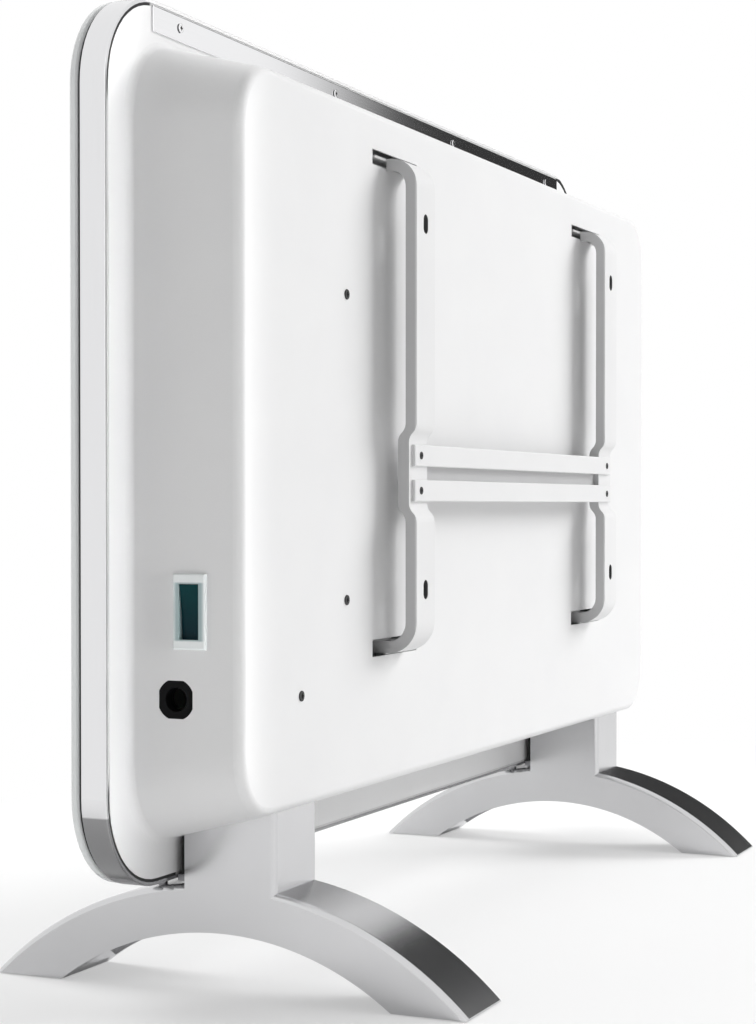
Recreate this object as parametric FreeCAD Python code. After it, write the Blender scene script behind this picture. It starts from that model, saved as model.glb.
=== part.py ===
import FreeCAD, Part
import math
import os

# Glass convector heater on two feet, with its wall bracket hooked into the back.
# Millimetres, +Z up, +X the end with the mains switch, -Y the glass front, floor at Z = 0.
# The feet are centred on Y = 0, and the panel is centred on X = 0.

Vector = FreeCAD.Vector
AXIS_X = Vector(1, 0, 0)
AXIS_Y = Vector(0, 1, 0)
AXIS_Z = Vector(0, 0, 1)
tolerance = 0.001

# Panel outline, shared by glass, frame and rear cover
panel_length = 594.0
panel_height = 373.5
panel_corner = 41.0
panel_rear = -21.6

# Frame band
band_depth = 11.9
band_wall = 1.6
band_edge_round = 0.5
lip_thickness = 1.5
lip_width = 12.0
ledge_thickness = 1.5
ledge_width = 9.0

# Glass front and its gasket
glass_thickness = 4.0
glass_inset = 0.3
glass_edge_round = 1.4
glass_gasket_thickness = 1.3
glass_gasket_inset = 1.3
glass_gasket_width = 10.0

# Sheet behind the glass
shield_thickness = 0.8
shield_gap = 0.6

# Rear cover: flange, deep box with sloping top and bottom
cover_sheet = 1.0
cover_gap = 1.3
cover_margin = 18.2
cover_depth = 52.6
cover_slope = 14.2
cover_root_corner = 34.0
cover_rear_corner = 26.0
cover_rear_round = 4.0
cover_root_round = 3.0
gasket_recess = 0.3

# Air slots in the sloping top and bottom
air_slot_width = 5.0
air_slot_pitch = 12.0
air_slot_margin = 13.0
air_slot_end = 24.0

# Bright strip along the top edge
trim_thickness = 0.8
trim_height = 10.9
trim_edge_round = 0.4
trim_top_inset = 2.6
trim_end_inset = 38.2
trim_screw_count = 4
trim_screw_end = 22.8
trim_screw_drop = 7.7
trim_screw_head = 4.0
trim_screw_rise = 0.7

# Small self-tapping screws
screw_shank = 2.6
screw_head = 4.6
screw_head_height = 0.5
screw_length = 6.0
recess_width = 0.7
recess_depth = 0.6
screw_crown = 0.4

# Bay with the electrics, at the switch end
bay_width = 101.2
bay_screw_spread = 68.2
divider_sheet = 1.0
divider_flange = 12.0
divider_gap = 1.0

# Mains switch on the end of the box
switch_back = 29.3
inlet_to_switch = 36.2
bezel_width = 15.0
bezel_height = 31.0
bezel_thickness = 2.0
bezel_round = 0.8
switch_case_width = 12.6
switch_case_height = 27.0
switch_case_depth = 20.0
rocker_width = 8.4
rocker_radius = 11.9
rocker_pivot_depth = 2.5
rocker_end_rise = 0.6
rocker_middle_rise = 0.1
rocker_back = 3.5
rocker_clearance = 0.3
rocker_tilt = 6.7
trunnion_radius = 1.5
trunnion_length = 1.2
trunnion_clearance = 0.05
spade_width = 4.8
spade_thickness = 0.8
spade_length = 8.0

# Cable inlet with flats
inlet_back = 22.2
inlet_height = 81.3
inlet_radius = 8.6
inlet_flat = 7.85
inlet_bore = 5.0
inlet_depth = 7.0
inlet_recess = 0.2
inlet_flange_radius = 11.0
inlet_flange_thickness = 2.0

# Heating element and its carriers
element_height = 89.5
element_radius = 4.5
fin_depth = 34.0
fin_height = 70.0
fin_thickness = 0.6
fin_pitch = 8.0
fin_end_gap = 12.0
insulator_radius = 8.0
insulator_length = 14.0
element_stub = 4.0
carrier_sheet = 1.2
carrier_width = 34.0
carrier_flange = 14.0
carrier_end_gap = 16.0
carrier_front_reach = 12.0

# Thermal cut-out and room sensor
cutout_radius = 8.0
cutout_thickness = 6.0
cutout_rise = 44.0
sensor_radius = 2.5
sensor_length = 18.0
sensor_arm = 1.0
sensor_arm_reach = 8.0
sensor_rise = 13.5
sensor_inset = 60.0

# Control board and its components
board_thickness = 1.6
board_lift = 14.0
board_end_gap = 12.0
board_divider_gap = 8.2
board_switch_gap = 23.0
board_top_gap = 65.0
pad_pitch = 14.0
pad_rise = 8.0
standoff_radius = 3.0
standoff_inset = 5.0
relay_size = (15.0, 16.0, 20.0)
transformer_size = (26.0, 18.0, 24.0)
capacitor_radius = 6.0
capacitor_length = 20.0
component_inset = 10.0
transformer_rise = 36.0
relay_rise = 80.0

# Terminal block, earth tag
block_width = 30.0
block_height = 17.0
block_depth = 16.0
block_inset = 54.9
block_rise = 47.0
pole_pitch = 10.0
earth_tag_size = 8.0
earth_tag_thickness = 0.8
earth_tag_rise = 34.5
earth_tag_inset = 17.0
wire_radius = 1.2
bend_share = 0.45
bend_room = 24.0
wire_hole_clearance = 0.3
lead_out = 12.0

# Touch board on the inside of the glass
touch_width = 60.0
touch_height = 40.0
touch_thickness = 1.0
touch_end_inset = 34.0
touch_top_inset = 40.0

# Feet
foot_width = 40.4
foot_end_inset = 77.4
foot_half_span = 114.5
foot_rise = 48.0
foot_panel_gap = 1.0
arch_half_span = 80.0
arch_rise = 27.0
foot_wall = 3.0
foot_round = 2.5
toe_blunt = 1.2
stem_front_gap = 4.4
stem_rear_gap = 4.5
pad_length = 20.0
pad_side_inset = 8.0
pad_depth = 1.6
pad_stand = 0.4
pad_end_inset = 6.0
foot_screw_side_gap = 2.0
foot_screw_shank = 2.0
foot_screw_head = 4.0
foot_screw_head_height = 2.4
foot_screw_clearance = 0.2
nut_plate_thickness = 2.0
nut_plate_side_gap = 3.0
nut_plate_depth = 14.0
clip_side_gap = 1.5
clip_height = 2.8
clip_gap = 0.3
buffer_radius = 2.0
buffer_side_inset = 4.8
buffer_reach = 8.8
buffer_gap = 0.1

# Wall bracket
bracket_offset = -18.7
upright_spacing = 284.0
upright_width = 22.0
upright_flange = 5.6
upright_sheet = 1.2
bracket_standoff = 15.7
hook_top_margin = 19.5
hook_bottom_margin = 59.5
upper_straight = 2.7
lower_straight = 1.2
tongue_reach = 6.6
tongue_side = 13.0
hook_reach = 8.0
hook_lip = 2.0
flange_gap = 0.4
jog_depth = 3.9
jog_length = 9.0
jog_margin = 0.9
jog_drop = 30.8
pivot_bead_radius = 1.1
pivot_bead_gap = 0.3
hook_slot_side = 15.0
hook_slot_over = 2.7
hook_slot_under = 4.4
lower_slot_over = 1.6
wall_slot_width = 5.6
wall_slot_length = 9.1
wall_slot_margin = 29.6
rail_height = 10.0
rail_thickness = 1.6
rail_pitch = 16.4
rail_end_inset = 3.6
rail_edge_round = 0.6
rail_screw_head = 1.8
rail_screw_shank = 1.3
rail_screw_rise = 0.3
tie_sheet = 1.2
tie_depth = 4.0
tie_lap = 1.8
tie_end_gap = 0.2

# Places that follow from the sizes above
panel_half = panel_length / 2
panel_bottom = foot_rise + foot_panel_gap
panel_top = panel_bottom + panel_height
band_front = panel_rear - band_depth
glass_rear = band_front - glass_gasket_thickness
glass_front = glass_rear - glass_thickness
ledge_rear = panel_rear - cover_sheet
ledge_front = ledge_rear - ledge_thickness
shield_front = band_front + lip_thickness
shield_rear = shield_front + shield_thickness
cover_rear = panel_rear + cover_depth
cover_inner = cover_rear - cover_sheet
cover_half = panel_half - cover_margin
cover_inner_half = cover_half - cover_sheet
root_bottom = panel_bottom + cover_margin
root_top = panel_top - cover_margin
rear_bottom = root_bottom + cover_slope
rear_top = root_top - cover_slope
trim_rear = panel_rear + trim_thickness
divider_x = cover_half - bay_width
divider_wall_x = divider_x + divider_flange / 2
switch_y = panel_rear + switch_back
inlet_y = panel_rear + inlet_back
inlet_z = panel_bottom + inlet_height
switch_z = inlet_z + inlet_to_switch
switch_back_x = cover_half - switch_case_depth
spade_end_x = switch_back_x - spade_length
spade_heights = (switch_z + switch_case_height / 4, switch_z - switch_case_height / 4)
rocker_pivot = Vector(cover_half - rocker_pivot_depth, switch_y, switch_z)
element_y = (shield_rear + cover_inner) / 2
element_z = rear_bottom + element_height
element_lead_rows = (element_y - element_radius / 2, element_y + element_radius / 2)
carrier_places = (divider_x - divider_flange / 2 - carrier_end_gap - carrier_flange,
                  -cover_inner_half + carrier_end_gap)
element_right = carrier_places[0] + insulator_length / 2 + element_stub
element_left = carrier_places[1] - insulator_length / 2 - element_stub
board_rear = cover_inner - board_lift
board_front = board_rear - board_thickness
board_left = divider_wall_x + board_divider_gap
board_right = cover_inner_half - board_end_gap
board_bottom = switch_z + bezel_height / 2 + board_switch_gap
board_top = rear_top - board_top_gap
earth_x = cover_inner_half - earth_tag_inset
earth_z = rear_bottom + earth_tag_rise
poles = [cover_half - block_inset + side * pole_pitch for side in (-1, 0, 1)]
foot_centre = panel_half - foot_end_inset
stem_front = panel_rear + stem_front_gap
stem_rear = cover_rear - stem_rear_gap
hook_top = rear_top - hook_top_margin
hook_bottom = rear_bottom + hook_bottom_margin
wall_plane = cover_rear + bracket_standoff
upright_centres = (bracket_offset + upright_spacing / 2, bracket_offset - upright_spacing / 2)
upper_bend = bracket_standoff - upper_straight
lower_bend = bracket_standoff - lower_straight
rail_seat = wall_plane - jog_depth
pivot_y = cover_rear - cover_sheet / 2
pivot_z = hook_bottom + upright_sheet / 2
wall_slot_heights = (hook_top - wall_slot_margin, hook_bottom + wall_slot_margin)
rail_middle = (hook_top + hook_bottom) / 2 - jog_drop
rail_heights = (rail_middle + rail_pitch / 2, rail_middle - rail_pitch / 2)
jog_top = rail_heights[0] + rail_height / 2 + jog_margin
jog_bottom = rail_heights[1] - rail_height / 2 - jog_margin


def block(x0, x1, y0, y1, z0, z1):
    return Part.makeBox(x1 - x0, y1 - y0, z1 - z0, Vector(x0, y0, z0))


def rod(start, direction, radius, length):
    return Part.makeCylinder(radius, length, start, direction)


def arc(first, middle, last):
    return Part.Arc(first, middle, last).toShape()


def spread(count, pitch):
    """Places of a centred row."""
    return [(i - (count - 1) / 2) * pitch for i in range(count)]


def rounded_wire(x0, x1, z0, z1, radius, y):
    """Rectangle with round corners in a plane of constant Y."""
    corners = ((x1 - radius, z1 - radius, 0), (x0 + radius, z1 - radius, 90),
               (x0 + radius, z0 + radius, 180), (x1 - radius, z0 + radius, 270))
    bends = []
    for cx, cz, start in corners:
        angles = [math.radians(start + step) for step in (0, 45, 90)]
        bends.append([Vector(cx + radius * math.cos(a), y, cz + radius * math.sin(a)) for a in angles])
    edges = []
    for points, following in zip(bends, bends[1:] + bends[:1]):
        edges.append(arc(*points))
        edges.append(Part.makeLine(points[2], following[0]))
    return Part.Wire(edges)


def panel_plate(inset, y0, y1):
    """Plate with the panel's outline, drawn in by the inset."""
    outline = rounded_wire(-panel_half + inset, panel_half - inset, panel_bottom + inset, panel_top - inset,
                           panel_corner - inset, y0)
    return Part.Face(outline).extrude(Vector(0, y1 - y0, 0))


def panel_ring(inset, width, y0, y1):
    return panel_plate(inset, y0, y1).cut(panel_plate(inset + width, y0, y1))


def depth_in_panel(point):
    """How far a point lies inside the panel's straight sides."""
    return min(panel_half - abs(point.x), point.z - panel_bottom, panel_top - point.z)


def side_prism(points, x0, x1):
    """Polygon of (y, z) points, extruded along X."""
    corners = [Vector(x0, y, z) for y, z in points]
    face = Part.Face(Part.makePolygon(corners + corners[:1]))
    return face.extrude(Vector(x1 - x0, 0, 0))


def level(edge):
    """True for an edge that lies in a plane of constant Y."""
    return edge.BoundBox.YLength < tolerance


def edges_at_y(shape, *places):
    return [e for e in shape.Edges if level(e) and any(abs(e.Vertexes[0].Y - y) < tolerance for y in places)]


def screw(seat, outward, size, length):
    """Screw whose round head stands outward from its seat, with a cross recess."""
    head_radius, head_height, shank_radius = size
    head = rod(seat, outward, head_radius, head_height)
    crown = [e for e in head.Edges if e.Closed and (e.CenterOfMass - seat).dot(outward) > head_height / 2]
    head = head.makeFillet(head_height * screw_crown, crown)
    body = head.fuse(rod(seat, outward * -1, shank_radius, length)).removeSplitter()
    stand = FreeCAD.Placement(seat, FreeCAD.Rotation(AXIS_Z, outward))
    for angle in (0, 90):
        bar = Part.makeBox(head_radius, recess_width, recess_depth * 2,
                           Vector(-head_radius / 2, -recess_width / 2, head_height - recess_depth))
        bar.rotate(Vector(), AXIS_Z, angle)
        bar.Placement = stand.multiply(bar.Placement)
        body = body.cut(bar)
    return body


def lead(start, start_way, start_run, end, end_way):
    """Wire that leaves one terminal straight and runs straight into the other, with tangent arcs between."""
    corners = [start, start + start_way * start_run, end + end_way * lead_out, end]
    edges = []
    begin = start
    for before, corner, after in zip(corners, corners[1:], corners[2:]):
        to_before = (before - corner).normalize()
        to_after = (after - corner).normalize()
        setback = bend_share * min((before - corner).Length, (after - corner).Length, bend_room)
        half_angle = to_before.getAngle(to_after) / 2
        inwards = (to_before + to_after).normalize()
        reach = setback / math.cos(half_angle) - setback * math.tan(half_angle)
        stop = corner + to_after * setback
        edges.append(Part.makeLine(begin, corner + to_before * setback))
        edges.append(arc(corner + to_before * setback, corner + inwards * reach, stop))
        begin = stop
    edges.append(Part.makeLine(begin, end))
    ring = Part.Wire([Part.makeCircle(wire_radius, start, start_way)])
    return Part.Wire(edges).makePipeShell([ring], True, False)


def cover_bottom(y):
    """Z of the cover's sloping underside."""
    return root_bottom + cover_slope * (y - panel_rear) / cover_depth


def cover_top(y):
    """Z of the cover's sloping upper side."""
    return root_top - cover_slope * (y - panel_rear) / cover_depth


def cover_section(y, inset):
    share = (y - panel_rear) / cover_depth
    radius = cover_root_corner + (cover_rear_corner - cover_root_corner) * share - inset
    half = cover_half - inset
    return rounded_wire(-half, half, cover_bottom(y) + inset, cover_top(y) - inset, radius, y)


def cover_form(y0, y1, inset, rear_round):
    form = Part.makeLoft([cover_section(y0, inset), cover_section(y1, inset)], True, True)
    return form.makeFillet(rear_round, edges_at_y(form, y1))


# Places of screws, shared by the pieces that they join
trim_screw_z = panel_top - trim_screw_drop
trim_screw_pitch = 2 * (panel_half - trim_end_inset - trim_screw_end) / (trim_screw_count - 1)
trim_screws = [(x, trim_screw_z) for x in spread(trim_screw_count, trim_screw_pitch)]
panel_middle = (panel_bottom + panel_top) / 2
divider_screws = [(divider_x, panel_middle + dz) for dz in (bay_screw_spread, -bay_screw_spread)]
block_x = cover_half - block_inset
block_z = rear_bottom + block_rise
cover_screws = divider_screws + [(block_x, block_z)]
small_screw = (screw_head / 2, screw_head_height, screw_shank / 2)
trim_screw = (trim_screw_head / 2, trim_screw_rise, screw_shank / 2)
foot_screw = (foot_screw_head, foot_screw_head_height, foot_screw_shank)
rail_screw = (rail_screw_head, rail_screw_rise, rail_screw_shank)
slope = math.atan2(cover_slope, cover_depth)
slope_normal = Vector(0, -math.sin(slope), math.cos(slope))
stem_middle = (stem_front + stem_rear) / 2
foot_screw_spread = foot_width - 2 * (foot_wall + foot_screw_head + foot_screw_side_gap)


def foot_seats(foot_x):
    """Points on the cover's underside where a foot's screws pass."""
    middle = Vector(foot_x, stem_middle, cover_bottom(stem_middle))
    return [middle + AXIS_X * dx for dx in spread(2, foot_screw_spread)]


# Glass front: plate with pencil-round edges
def make_front_glass():
    glass = panel_plate(glass_inset, glass_front, glass_rear)
    return glass.makeFillet(glass_edge_round, edges_at_y(glass, glass_front, glass_rear))


# Frame band: outer wall, lip behind the glass and ledge under the cover's flange
def make_frame_band():
    wall = panel_ring(0, band_wall, band_front, panel_rear)
    rims = [e for e in edges_at_y(wall, band_front, panel_rear)
            if min(depth_in_panel(v.Point) for v in e.Vertexes) < tolerance]
    wall = wall.makeFillet(band_edge_round, rims)
    lip = panel_ring(band_wall, lip_width, band_front, shield_front)
    ledge = panel_ring(band_wall, ledge_width, ledge_front, ledge_rear)
    holes = [rod(Vector(x, ledge_front, z), AXIS_Y, screw_shank / 2, ledge_thickness) for x, z in trim_screws]
    return wall.fuse([lip, ledge]).removeSplitter().cut(holes)


def air_slots():
    """Cutters for the outlet slots above and the inlet slots below, between the bay and the far end."""
    y0 = panel_rear + air_slot_margin
    y1 = cover_rear - air_slot_margin
    first = -cover_half + air_slot_end
    last = divider_x - air_slot_end
    count = int((last - first) / air_slot_pitch) + 1
    foot_room = foot_width / 2 + air_slot_pitch / 2
    cutters = []
    for offset in spread(count, air_slot_pitch):
        x = (first + last) / 2 + offset
        x0 = x - air_slot_width / 2
        x1 = x + air_slot_width / 2
        cutters.append(block(x0, x1, y0, y1, cover_top(y1) - 2 * cover_sheet, root_top))
        if abs(abs(x) - foot_centre) > foot_room:
            cutters.append(block(x0, x1, y0, y1, root_bottom, cover_bottom(y1) + 2 * cover_sheet))
    return cutters


def hook_slots():
    """Cutters for the slots that take the bracket's tongues and hooks."""
    half = upright_width / 2 + hook_slot_side
    y0 = cover_inner - cover_sheet
    y1 = cover_rear + cover_sheet
    cutters = []
    for x in upright_centres:
        cutters.append(block(x - half, x + half, y0, y1,
                             hook_top - hook_slot_under, hook_top + hook_slot_over))
        cutters.append(block(x - half, x + half, y0, y1, pivot_z - pivot_bead_radius - pivot_bead_gap,
                             hook_bottom + upright_flange + lower_slot_over))
    return cutters


def inlet_prism(x0, x1):
    """Round form with four flats, along X at the cable inlet."""
    disc = rod(Vector(x0, inlet_y, inlet_z), AXIS_X, inlet_radius, x1 - x0)
    return disc.common(block(x0, x1, inlet_y - inlet_flat, inlet_y + inlet_flat,
                             inlet_z - inlet_flat, inlet_z + inlet_flat))


def switch_case(x0, x1):
    return block(x0, x1, switch_y - switch_case_width / 2, switch_y + switch_case_width / 2,
                 switch_z - switch_case_height / 2, switch_z + switch_case_height / 2)


# Rear cover: one pressing of flange and box, with all its openings
def make_rear_cover():
    flange = panel_plate(band_wall + cover_gap, ledge_rear, panel_rear)
    cover = flange.fuse(cover_form(ledge_rear, cover_rear, 0, cover_rear_round)).removeSplitter()
    root = [e for e in edges_at_y(cover, panel_rear)
            if min(depth_in_panel(v.Point) for v in e.Vertexes) > cover_margin - tolerance]
    cover = cover.makeFillet(cover_root_round, root)
    hollow = cover_form(ledge_rear - cover_sheet, cover_inner, cover_sheet, cover_rear_round - cover_sheet)
    cutters = [hollow] + air_slots() + hook_slots()
    cutters.append(switch_case(cover_inner_half - cover_sheet, cover_half + cover_sheet))
    cutters.append(inlet_prism(cover_inner_half - cover_sheet, cover_half + cover_sheet))
    for x, z in cover_screws:
        cutters.append(rod(Vector(x, cover_inner, z), AXIS_Y, screw_shank / 2, cover_sheet))
    for x, z in trim_screws:
        cutters.append(rod(Vector(x, ledge_rear, z), AXIS_Y, screw_shank / 2, cover_sheet))
    for foot_x in (foot_centre, -foot_centre):
        for seat in foot_seats(foot_x):
            cutters.append(rod(seat - slope_normal * cover_sheet, slope_normal,
                               foot_screw_shank + foot_screw_clearance, 4 * cover_sheet))
    return cover.cut(cutters)


# Gasket between frame and cover, set back from both rims
def make_cover_gasket():
    return panel_ring(band_wall, cover_gap, ledge_rear, panel_rear - gasket_recess)


# Gasket between glass and frame
def make_glass_gasket():
    return panel_ring(glass_gasket_inset, glass_gasket_width, glass_rear, band_front)


# Sheet behind the glass, seated on the frame's lip
def make_front_shield():
    return panel_plate(band_wall + shield_gap, shield_front, shield_rear)


# Strip along the top edge, over the joint of frame and cover
def make_top_trim():
    half = panel_half - trim_end_inset
    top = panel_top - trim_top_inset
    strip = block(-half, half, panel_rear, trim_rear, top - trim_height, top)
    strip = strip.makeFillet(trim_edge_round, edges_at_y(strip, trim_rear))
    holes = [rod(Vector(x, panel_rear, z), AXIS_Y, screw_shank / 2, trim_thickness) for x, z in trim_screws]
    return strip.cut(holes)


def make_top_trim_screws():
    return Part.makeCompound([screw(Vector(x, trim_rear, z), AXIS_Y, trim_screw, screw_length)
                              for x, z in trim_screws])


def make_cover_screws():
    return Part.makeCompound([screw(Vector(x, cover_rear, z), AXIS_Y, small_screw, screw_length)
                              for x, z in cover_screws])


# Mains switch: case with bezel, rocker on trunnions, spade terminals
def make_switch_body():
    front = cover_half + bezel_thickness
    bezel = block(cover_half, front, switch_y - bezel_width / 2, switch_y + bezel_width / 2,
                  switch_z - bezel_height / 2, switch_z + bezel_height / 2)
    rims = [e for e in bezel.Edges if e.BoundBox.XMin > cover_half + tolerance]
    bezel = bezel.makeFillet(bezel_round, rims)
    body = bezel.fuse(switch_case(switch_back_x, cover_half)).removeSplitter()
    half = rocker_width / 2 + rocker_clearance
    room = rod(rocker_pivot - AXIS_Y * half, AXIS_Y, rocker_radius + rocker_clearance, 2 * half)
    reach = rocker_width / 2 + trunnion_length + rocker_clearance
    bearing = rod(rocker_pivot - AXIS_Y * reach, AXIS_Y, trunnion_radius + trunnion_clearance, 2 * reach)
    return body.cut([room, bearing])


def make_switch_rocker():
    rise = rocker_end_rise + rocker_pivot_depth
    middle = rocker_middle_rise + rocker_pivot_depth
    end_z = math.sqrt(rocker_radius ** 2 - rise ** 2)
    back_z = math.sqrt(rocker_radius ** 2 - rocker_back ** 2)

    def at(dx, dz):
        return rocker_pivot + Vector(dx, -rocker_width / 2, dz)

    edges = [Part.makeLine(at(rise, end_z), at(middle, 0)),
             Part.makeLine(at(middle, 0), at(rise, -end_z)),
             arc(at(rise, -end_z), at(0, -rocker_radius), at(-rocker_back, -back_z)),
             Part.makeLine(at(-rocker_back, -back_z), at(-rocker_back, back_z)),
             arc(at(-rocker_back, back_z), at(0, rocker_radius), at(rise, end_z))]
    rocker = Part.Face(Part.Wire(edges)).extrude(AXIS_Y * rocker_width)
    reach = rocker_width / 2 + trunnion_length
    trunnions = rod(rocker_pivot - AXIS_Y * reach, AXIS_Y, trunnion_radius, 2 * reach)
    rocker = rocker.fuse(trunnions).removeSplitter()
    rocker.rotate(rocker_pivot, AXIS_Y, rocker_tilt)
    return rocker


def make_switch_terminals():
    y0 = switch_y - spade_width / 2
    y1 = switch_y + spade_width / 2
    return Part.makeCompound([block(spade_end_x, switch_back_x, y0, y1,
                                    z - spade_thickness / 2, z + spade_thickness / 2) for z in spade_heights])


# Cable inlet: plug with a bore, flange inside the cover
def make_cable_gland():
    plug = inlet_prism(cover_half - inlet_depth, cover_half - inlet_recess)
    flange = rod(Vector(cover_inner_half - inlet_flange_thickness, inlet_y, inlet_z), AXIS_X,
                 inlet_flange_radius, inlet_flange_thickness)
    bore = rod(Vector(cover_half - inlet_depth, inlet_y, inlet_z), AXIS_X, inlet_bore, inlet_depth)
    return plug.fuse(flange).removeSplitter().cut(bore)


# Sheet between the air duct and the electrics, screwed to the cover's back
def make_bay_divider():
    front = shield_rear + divider_gap
    inset = cover_sheet + divider_gap
    corner = cover_inner - cover_rear_round
    low = cover_bottom(cover_inner) + inset
    high = cover_top(cover_inner) - inset
    wall = side_prism([(front, root_bottom + inset), (corner, low), (cover_inner, low + cover_rear_round),
                       (cover_inner, high - cover_rear_round), (corner, high), (front, root_top - inset)],
                      divider_wall_x - divider_sheet, divider_wall_x)
    flange = block(divider_x - divider_flange / 2, divider_wall_x, cover_inner - divider_sheet, cover_inner,
                   low + cover_rear_corner, high - cover_rear_corner)
    cutters = [rod(Vector(x, cover_inner - divider_sheet, z), AXIS_Y, screw_shank / 2, divider_sheet)
               for x, z in divider_screws]
    for y in element_lead_rows:
        cutters.append(rod(Vector(divider_wall_x - divider_sheet, y, element_z), AXIS_X,
                           wire_radius + wire_hole_clearance, divider_sheet))
    return wall.fuse(flange).removeSplitter().cut(cutters)


# Carrier: flange on the cover's back and an arm that holds the bush
def make_element_bracket(x):
    z0 = element_z - carrier_width / 2
    z1 = element_z + carrier_width / 2
    x0 = x - carrier_sheet / 2
    x1 = x + carrier_sheet / 2
    arm = block(x0, x1, element_y - carrier_front_reach, cover_inner, z0, z1)
    flange = block(x0, x0 + carrier_flange, cover_inner - carrier_sheet, cover_inner, z0, z1)
    hole = rod(Vector(x0, element_y, element_z), AXIS_X, insulator_radius, carrier_sheet)
    return arm.fuse(flange).removeSplitter().cut(hole)


# Heating element: sheathed core, ceramic bushes, pressed-on fins
def make_element_core():
    start = Vector(element_left, element_y, element_z)
    return rod(start, AXIS_X, element_radius, element_right - element_left)


def make_element_insulators():
    bushes = []
    for x in carrier_places:
        start = Vector(x - insulator_length / 2, element_y, element_z)
        bush = rod(start, AXIS_X, insulator_radius, insulator_length)
        bushes.append(bush.cut(rod(start, AXIS_X, element_radius, insulator_length)))
    return Part.makeCompound(bushes)


def make_element_fins():
    right, left = carrier_places
    run = right - left - insulator_length - 2 * fin_end_gap
    fins = []
    for offset in spread(int(run / fin_pitch) + 1, fin_pitch):
        x = (left + right) / 2 + offset - fin_thickness / 2
        plate = block(x, x + fin_thickness, element_y - fin_depth / 2, element_y + fin_depth / 2,
                      element_z - fin_height / 2, element_z + fin_height / 2)
        fins.append(plate.cut(rod(Vector(x, element_y, element_z), AXIS_X, element_radius, fin_thickness)))
    return Part.makeCompound(fins)


# Thermal cut-out on the divider, above the element
def make_thermal_cutout():
    place = Vector(divider_wall_x - divider_sheet - cutout_thickness, element_y, element_z + cutout_rise)
    return rod(place, AXIS_X, cutout_radius, cutout_thickness)


# Room sensor: bead on an arm from the cover's back
def make_temperature_sensor():
    x = cover_inner_half - sensor_inset
    z = rear_bottom + sensor_rise
    y = cover_inner - sensor_arm_reach
    arm = block(x - sensor_arm / 2, x + sensor_arm / 2, y, cover_inner, z, z + sensor_length)
    return arm.fuse(rod(Vector(x, y, z), AXIS_Z, sensor_radius, sensor_length)).removeSplitter()


# Control board on standoffs, with its larger components
def make_control_board():
    return block(board_left, board_right, board_front, board_rear, board_bottom, board_top)


def make_board_standoffs():
    inset = standoff_inset
    return Part.makeCompound([rod(Vector(x, board_rear, z), AXIS_Y, standoff_radius, board_lift)
                              for x in (board_left + inset, board_right - inset)
                              for z in (board_bottom + inset, board_top - inset)])


def on_board(size, rise):
    """Block that stands on the board's front face."""
    width, depth, height = size
    x0 = board_left + component_inset
    z0 = board_bottom + rise
    return block(x0, x0 + width, board_front - depth, board_front, z0, z0 + height)


def make_supply_capacitor():
    place = Vector(board_right - component_inset - capacitor_radius, board_front - capacitor_length,
                   board_bottom + relay_rise)
    return rod(place, AXIS_Y, capacitor_radius, capacitor_length)


# Terminal block for the mains lead, earth tag beside it
def make_terminal_block():
    body = block(block_x - block_width / 2, block_x + block_width / 2, cover_inner - block_depth, cover_inner,
                 block_z - block_height / 2, block_z + block_height / 2)
    pole_depth = block_depth - screw_length
    screw_end = Vector(block_x, cover_inner - screw_length, block_z)
    cutters = [rod(screw_end, AXIS_Y, screw_shank / 2, screw_length)]
    for x in poles:
        mouth = Vector(x, cover_inner - block_depth, block_z)
        cutters.append(rod(mouth, AXIS_Y, screw_shank / 2, pole_depth / 2))
    return body.cut(cutters)


def make_earth_tag():
    half = earth_tag_size / 2
    return block(earth_x - half, earth_x + half, cover_inner - earth_tag_thickness, cover_inner,
                 earth_z - half, earth_z + half)


# Internal leads, each from face to face
def make_leads():
    block_top = block_z + block_height / 2
    block_y = cover_inner - block_depth / 2
    pads = [Vector(board_left + component_inset + i * pad_pitch, board_front, board_bottom + pad_rise)
            for i in range(4)]
    upper_spade, lower_spade = [Vector(spade_end_x, switch_y, z) for z in spade_heights]
    neutral_pole, live_pole, _ = [Vector(x, block_y, block_top) for x in poles]
    earth_pole = Vector(poles[2], block_y, block_z - block_height / 2)
    earth = Vector(earth_x, cover_inner - earth_tag_thickness, earth_z)
    through_divider = divider_wall_x + lead_out - element_right
    hot_ends = [Vector(element_right, y, element_z) for y in element_lead_rows]
    return {
        "wire_live": lead(live_pole, AXIS_Z, lead_out, lower_spade, -AXIS_X),
        "wire_switched_live": lead(upper_spade, -AXIS_X, lead_out, pads[3], -AXIS_Y),
        "wire_neutral": lead(neutral_pole, AXIS_Z, lead_out, pads[2], -AXIS_Y),
        "wire_earth": lead(earth_pole, -AXIS_Z, lead_out, earth, -AXIS_Y),
        "element_lead_live": lead(hot_ends[0], AXIS_X, through_divider, pads[0], -AXIS_Y),
        "element_lead_neutral": lead(hot_ends[1], AXIS_X, through_divider, pads[1], -AXIS_Y),
    }


# Touch board bonded to the inside of the glass
def make_touch_board():
    x1 = panel_half - touch_end_inset
    z1 = panel_top - touch_top_inset
    return block(x1 - touch_width, x1, glass_rear, glass_rear + touch_thickness, z1 - touch_height, z1)


def arch_form(half_span, rise, half_length, x0, x1):
    """Space under an arc over the floor, cut upright at each end of its length, extruded along X."""
    radius = (half_span ** 2 + rise ** 2) / (2 * rise)
    end_z = math.sqrt(radius ** 2 - half_length ** 2) - radius + rise
    start = Vector(x0, -half_length, end_z)
    stop = Vector(x0, half_length, end_z)
    corners = [stop, Vector(x0, half_length, 0), Vector(x0, -half_length, 0), start]
    if end_z < tolerance:
        corners = [stop, start]
    sides = [Part.makeLine(a, b) for a, b in zip(corners, corners[1:])]
    outline = Part.Wire([arc(start, Vector(x0, 0, rise), stop)] + sides)
    return Part.Face(outline).extrude(Vector(x1 - x0, 0, 0))


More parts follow.
